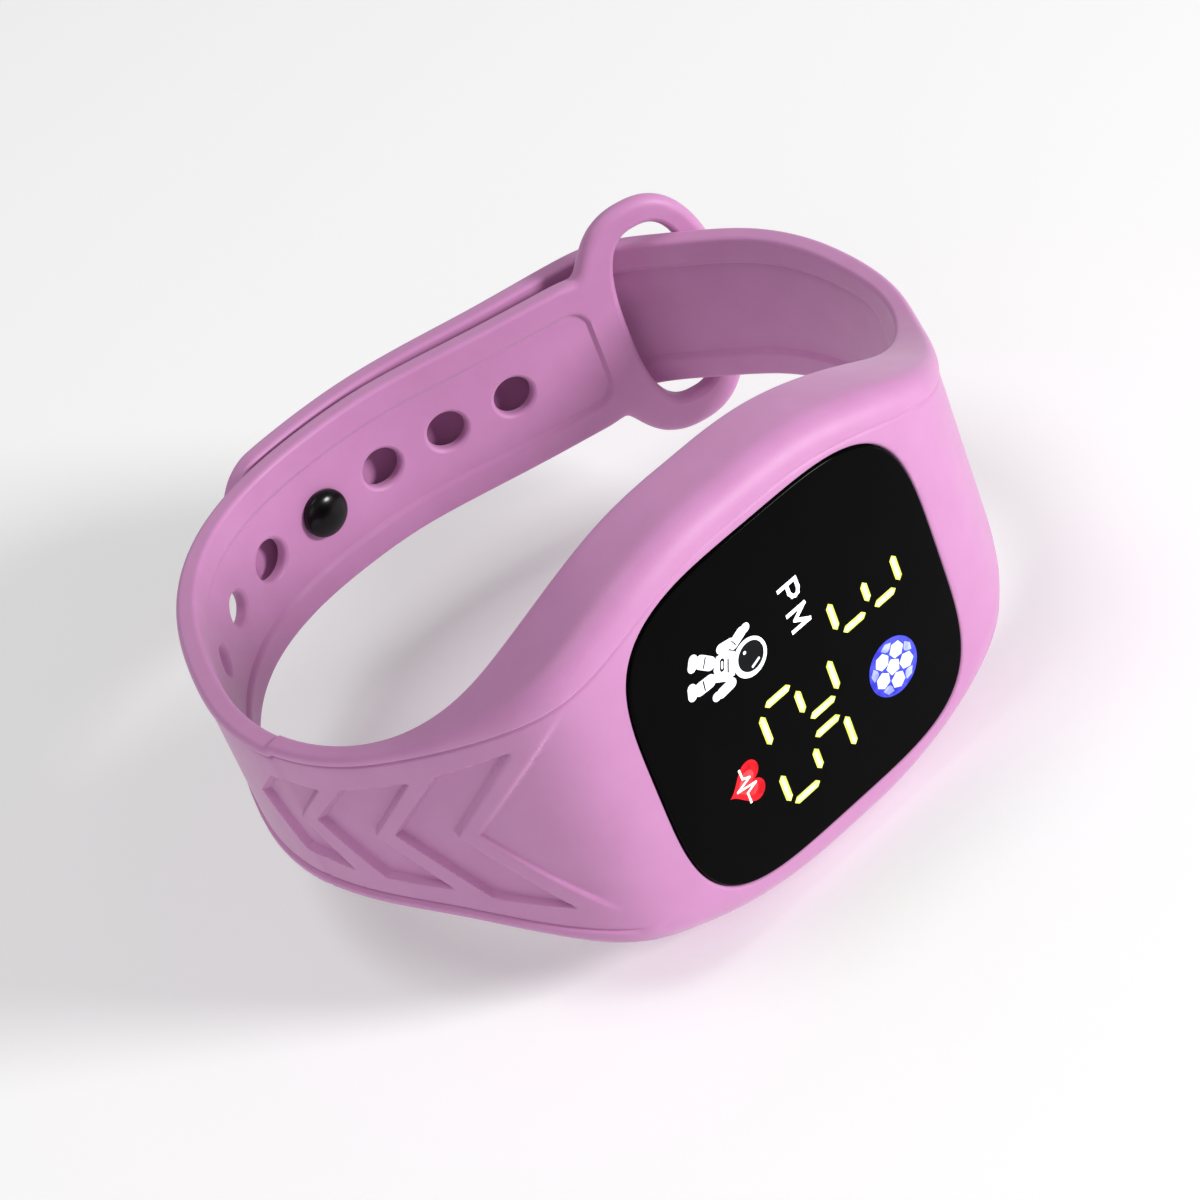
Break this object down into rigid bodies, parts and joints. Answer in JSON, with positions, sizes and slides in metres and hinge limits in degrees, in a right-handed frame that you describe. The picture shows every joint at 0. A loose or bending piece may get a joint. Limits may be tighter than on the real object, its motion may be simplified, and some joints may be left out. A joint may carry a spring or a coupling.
{
  "type": "fitness tracker band",
  "caption": "Soft wrist band with a press-in display capsule, a row of adjustment holes, a pass-through ring and a push-in stud clasp.",
  "frame": {"origin": "centre of the bounding box, on the resting face (the lower side of the case)", "axes": "+Z along the wrist axis, the band lying on its side; the display faces -Y; the display's 12 o'clock side points to +X"},
  "size_m": [0.0726, 0.0637, 0.0392],
  "materials": {
    "silicone_pink": "soft matte silicone",
    "stud_black": "polished black",
    "lens_black": "polished smoked acrylic",
    "adhesive": "foam tape",
    "shell_black": "fine spark-eroded",
    "seal_rubber": "matte",
    "screw_steel": "bright",
    "guide_white": "satin white",
    "segment_amber": "translucent, lit",
    "icon_white": "translucent, lit",
    "led": "clear",
    "board_green": "solder mask",
    "chip_black": "matte",
    "component_metal": "satin",
    "ceramic_tan": "matte",
    "foam_grey": "foam",
    "battery_foil": "foil",
    "nickel": "satin",
    "motor_steel": "satin",
    "rotor_tungsten": "dull",
    "window_smoked": "smoked clear",
    "sensor_dark": "matte",
    "flex_amber": "polyimide film",
    "gold": "gold plated"
  },
  "bodies": {
    "band": {"silicone_band": "silicone_pink"},
    "strap_end": {"strap_free_end": "silicone_pink", "clasp_stud": "stud_black", "clasp_stud_cap": "stud_black"},
    "capsule": {"front_lens": "lens_black", "lens_adhesive": "adhesive", "capsule_shell": "shell_black", "cover_seal": "seal_rubber", "back_cover": "shell_black", "cover_screws": "screw_steel", "light_guide": "guide_white", "digit_segments": "segment_amber", "icon_diffusers": "icon_white", "display_leds": "led", "main_board": "board_green", "controller_chip": "chip_black", "motion_sensor": "chip_black", "timing_crystal": "component_metal", "board_passives": "ceramic_tan", "battery_pad": "foam_grey", "battery_cell": "battery_foil", "battery_tabs": "nickel", "motor_can": "motor_steel", "motor_base": "motor_steel", "motor_axle": "screw_steel", "sensor_glass": "window_smoked", "pulse_sensor": "sensor_dark", "sensor_flex": "flex_amber", "charging_pins": "gold", "touch_contact": "nickel"},
    "rotor": {"motor_rotor": "rotor_tungsten"}
  },
  "joints": [
    {"name": "strap_end_lift", "type": "hinge", "parent": "band", "child": "strap_end", "pos_m": [0.02311, 0.02448, 0.0196], "axis": [0, 0, 1], "range_deg": [-60, 0]},
    {"name": "capsule_pop", "type": "slide", "parent": "band", "child": "capsule", "axis": [0, 1, 0], "range_m": [0, 0.02]},
    {"name": "rotor_spin", "type": "hinge", "parent": "capsule", "child": "rotor", "pos_m": [0.00613, -0.02895, 0.013], "axis": [0, 1, 0], "continuous": true}
  ]
}
